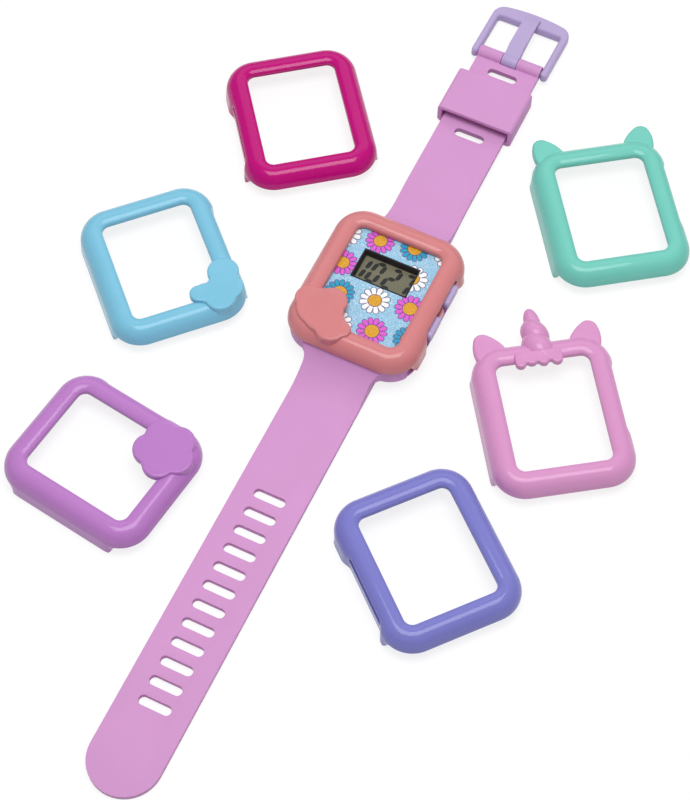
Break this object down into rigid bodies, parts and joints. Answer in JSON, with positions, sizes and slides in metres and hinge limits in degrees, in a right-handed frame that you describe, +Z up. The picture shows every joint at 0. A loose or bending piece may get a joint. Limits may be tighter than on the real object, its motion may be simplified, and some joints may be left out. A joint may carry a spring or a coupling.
{
  "type": "toy digital watch with swappable covers",
  "caption": "Child's toy digital watch on a slotted strap with keeper and buckle, one clip-on cover fitted and spare covers with ears, horn, butterfly and flower beside it.",
  "frame": {"origin": "middle of the back cover's flat face, on the table", "axes": "+X to the push buttons, +Y along the strap to the buckle, +Z up through the display"},
  "size_m": [0.143, 0.227, 0.012],
  "materials": {
    "strap_vinyl": "satin soft vinyl",
    "lilac_plastic": "semi-gloss moulded",
    "back_plastic": "fine matt moulded",
    "steel": "plated",
    "spring_metal": "thin stamped strip",
    "face_print": "printed glitter sheet",
    "black_plastic": "satin",
    "display_glass": "grey-green display",
    "contact_rubber": "striped silicone",
    "module_plastic": "plain moulded",
    "board": "solder mask",
    "chip_resin": "cured resin",
    "coral_plastic": "semi-gloss moulded",
    "magenta_plastic": "gloss moulded",
    "sky_plastic": "semi-gloss moulded",
    "violet_plastic": "semi-gloss moulded",
    "mint_plastic": "semi-gloss moulded",
    "pink_plastic": "semi-gloss moulded",
    "periwinkle_plastic": "semi-gloss moulded"
  },
  "bodies": {
    "watch": {"strap_body": "strap_vinyl", "case_shell": "lilac_plastic", "back_cover": "back_plastic", "back_screws": "steel", "face_plate": "face_print", "display_surround": "black_plastic", "display_glass": "display_glass", "contact_strips": "contact_rubber", "module_frame": "module_plastic", "circuit_board": "board", "chip_cap": "chip_resin", "crystal_can": "steel", "battery_holder": "module_plastic", "coin_cell": "steel", "battery_spring": "spring_metal", "battery_clip": "spring_metal", "side_contact": "spring_metal", "buckle_pin": "steel"},
    "upper_button": {"upper_button": "lilac_plastic"},
    "lower_button": {"lower_button": "lilac_plastic"},
    "keeper": {"keeper": "strap_vinyl"},
    "buckle": {"buckle_frame": "lilac_plastic"},
    "tongue": {"buckle_tongue": "lilac_plastic"},
    "coral_cover": {"bezel_coral": "coral_plastic"},
    "magenta_cover": {"bezel_magenta": "magenta_plastic"},
    "sky_cover": {"bezel_sky": "sky_plastic"},
    "violet_cover": {"bezel_violet": "violet_plastic"},
    "mint_cover": {"bezel_mint": "mint_plastic"},
    "pink_cover": {"bezel_pink": "pink_plastic"},
    "periwinkle_cover": {"bezel_periwinkle": "periwinkle_plastic"}
  },
  "joints": [
    {"name": "upper_button_press", "type": "slide", "parent": "watch", "child": "upper_button", "axis": [-1, 0, 0], "range_m": [0, 0.0007], "stiffness_N_per_m": 1500, "springref_m": -0.0004},
    {"name": "lower_button_press", "type": "slide", "parent": "watch", "child": "lower_button", "axis": [-1, 0, 0], "range_m": [0, 0.0007], "stiffness_N_per_m": 1500, "springref_m": -0.0004},
    {"name": "keeper_slide", "type": "slide", "parent": "watch", "child": "keeper", "axis": [0, 1, 0], "range_m": [-0.018, 0.004]},
    {"name": "buckle_hinge", "type": "hinge", "parent": "watch", "child": "buckle", "pos_m": [0, 0.0791, 0.0025], "axis": [1, 0, 0], "range_deg": [0, 70]},
    {"name": "tongue_hinge", "type": "hinge", "parent": "buckle", "child": "tongue", "pos_m": [0, 0.0791, 0.0025], "axis": [1, 0, 0], "range_deg": [0, 40]},
    {"name": "coral_cover_lift", "type": "slide", "parent": "watch", "child": "coral_cover", "axis": [0, 0, 1], "range_m": [0, 0.025]},
    {"name": "magenta_cover_lift", "type": "slide", "parent": "watch", "child": "magenta_cover", "axis": [0, 0, 1], "range_m": [0, 0.03]},
    {"name": "sky_cover_lift", "type": "slide", "parent": "watch", "child": "sky_cover", "axis": [0, 0, 1], "range_m": [0, 0.03]},
    {"name": "violet_cover_lift", "type": "slide", "parent": "watch", "child": "violet_cover", "axis": [0, 0, 1], "range_m": [0, 0.03]},
    {"name": "mint_cover_lift", "type": "slide", "parent": "watch", "child": "mint_cover", "axis": [0, 0, 1], "range_m": [0, 0.03]},
    {"name": "pink_cover_lift", "type": "slide", "parent": "watch", "child": "pink_cover", "axis": [0, 0, 1], "range_m": [0, 0.03]},
    {"name": "periwinkle_cover_lift", "type": "slide", "parent": "watch", "child": "periwinkle_cover", "axis": [0, 0, 1], "range_m": [0, 0.03]}
  ]
}
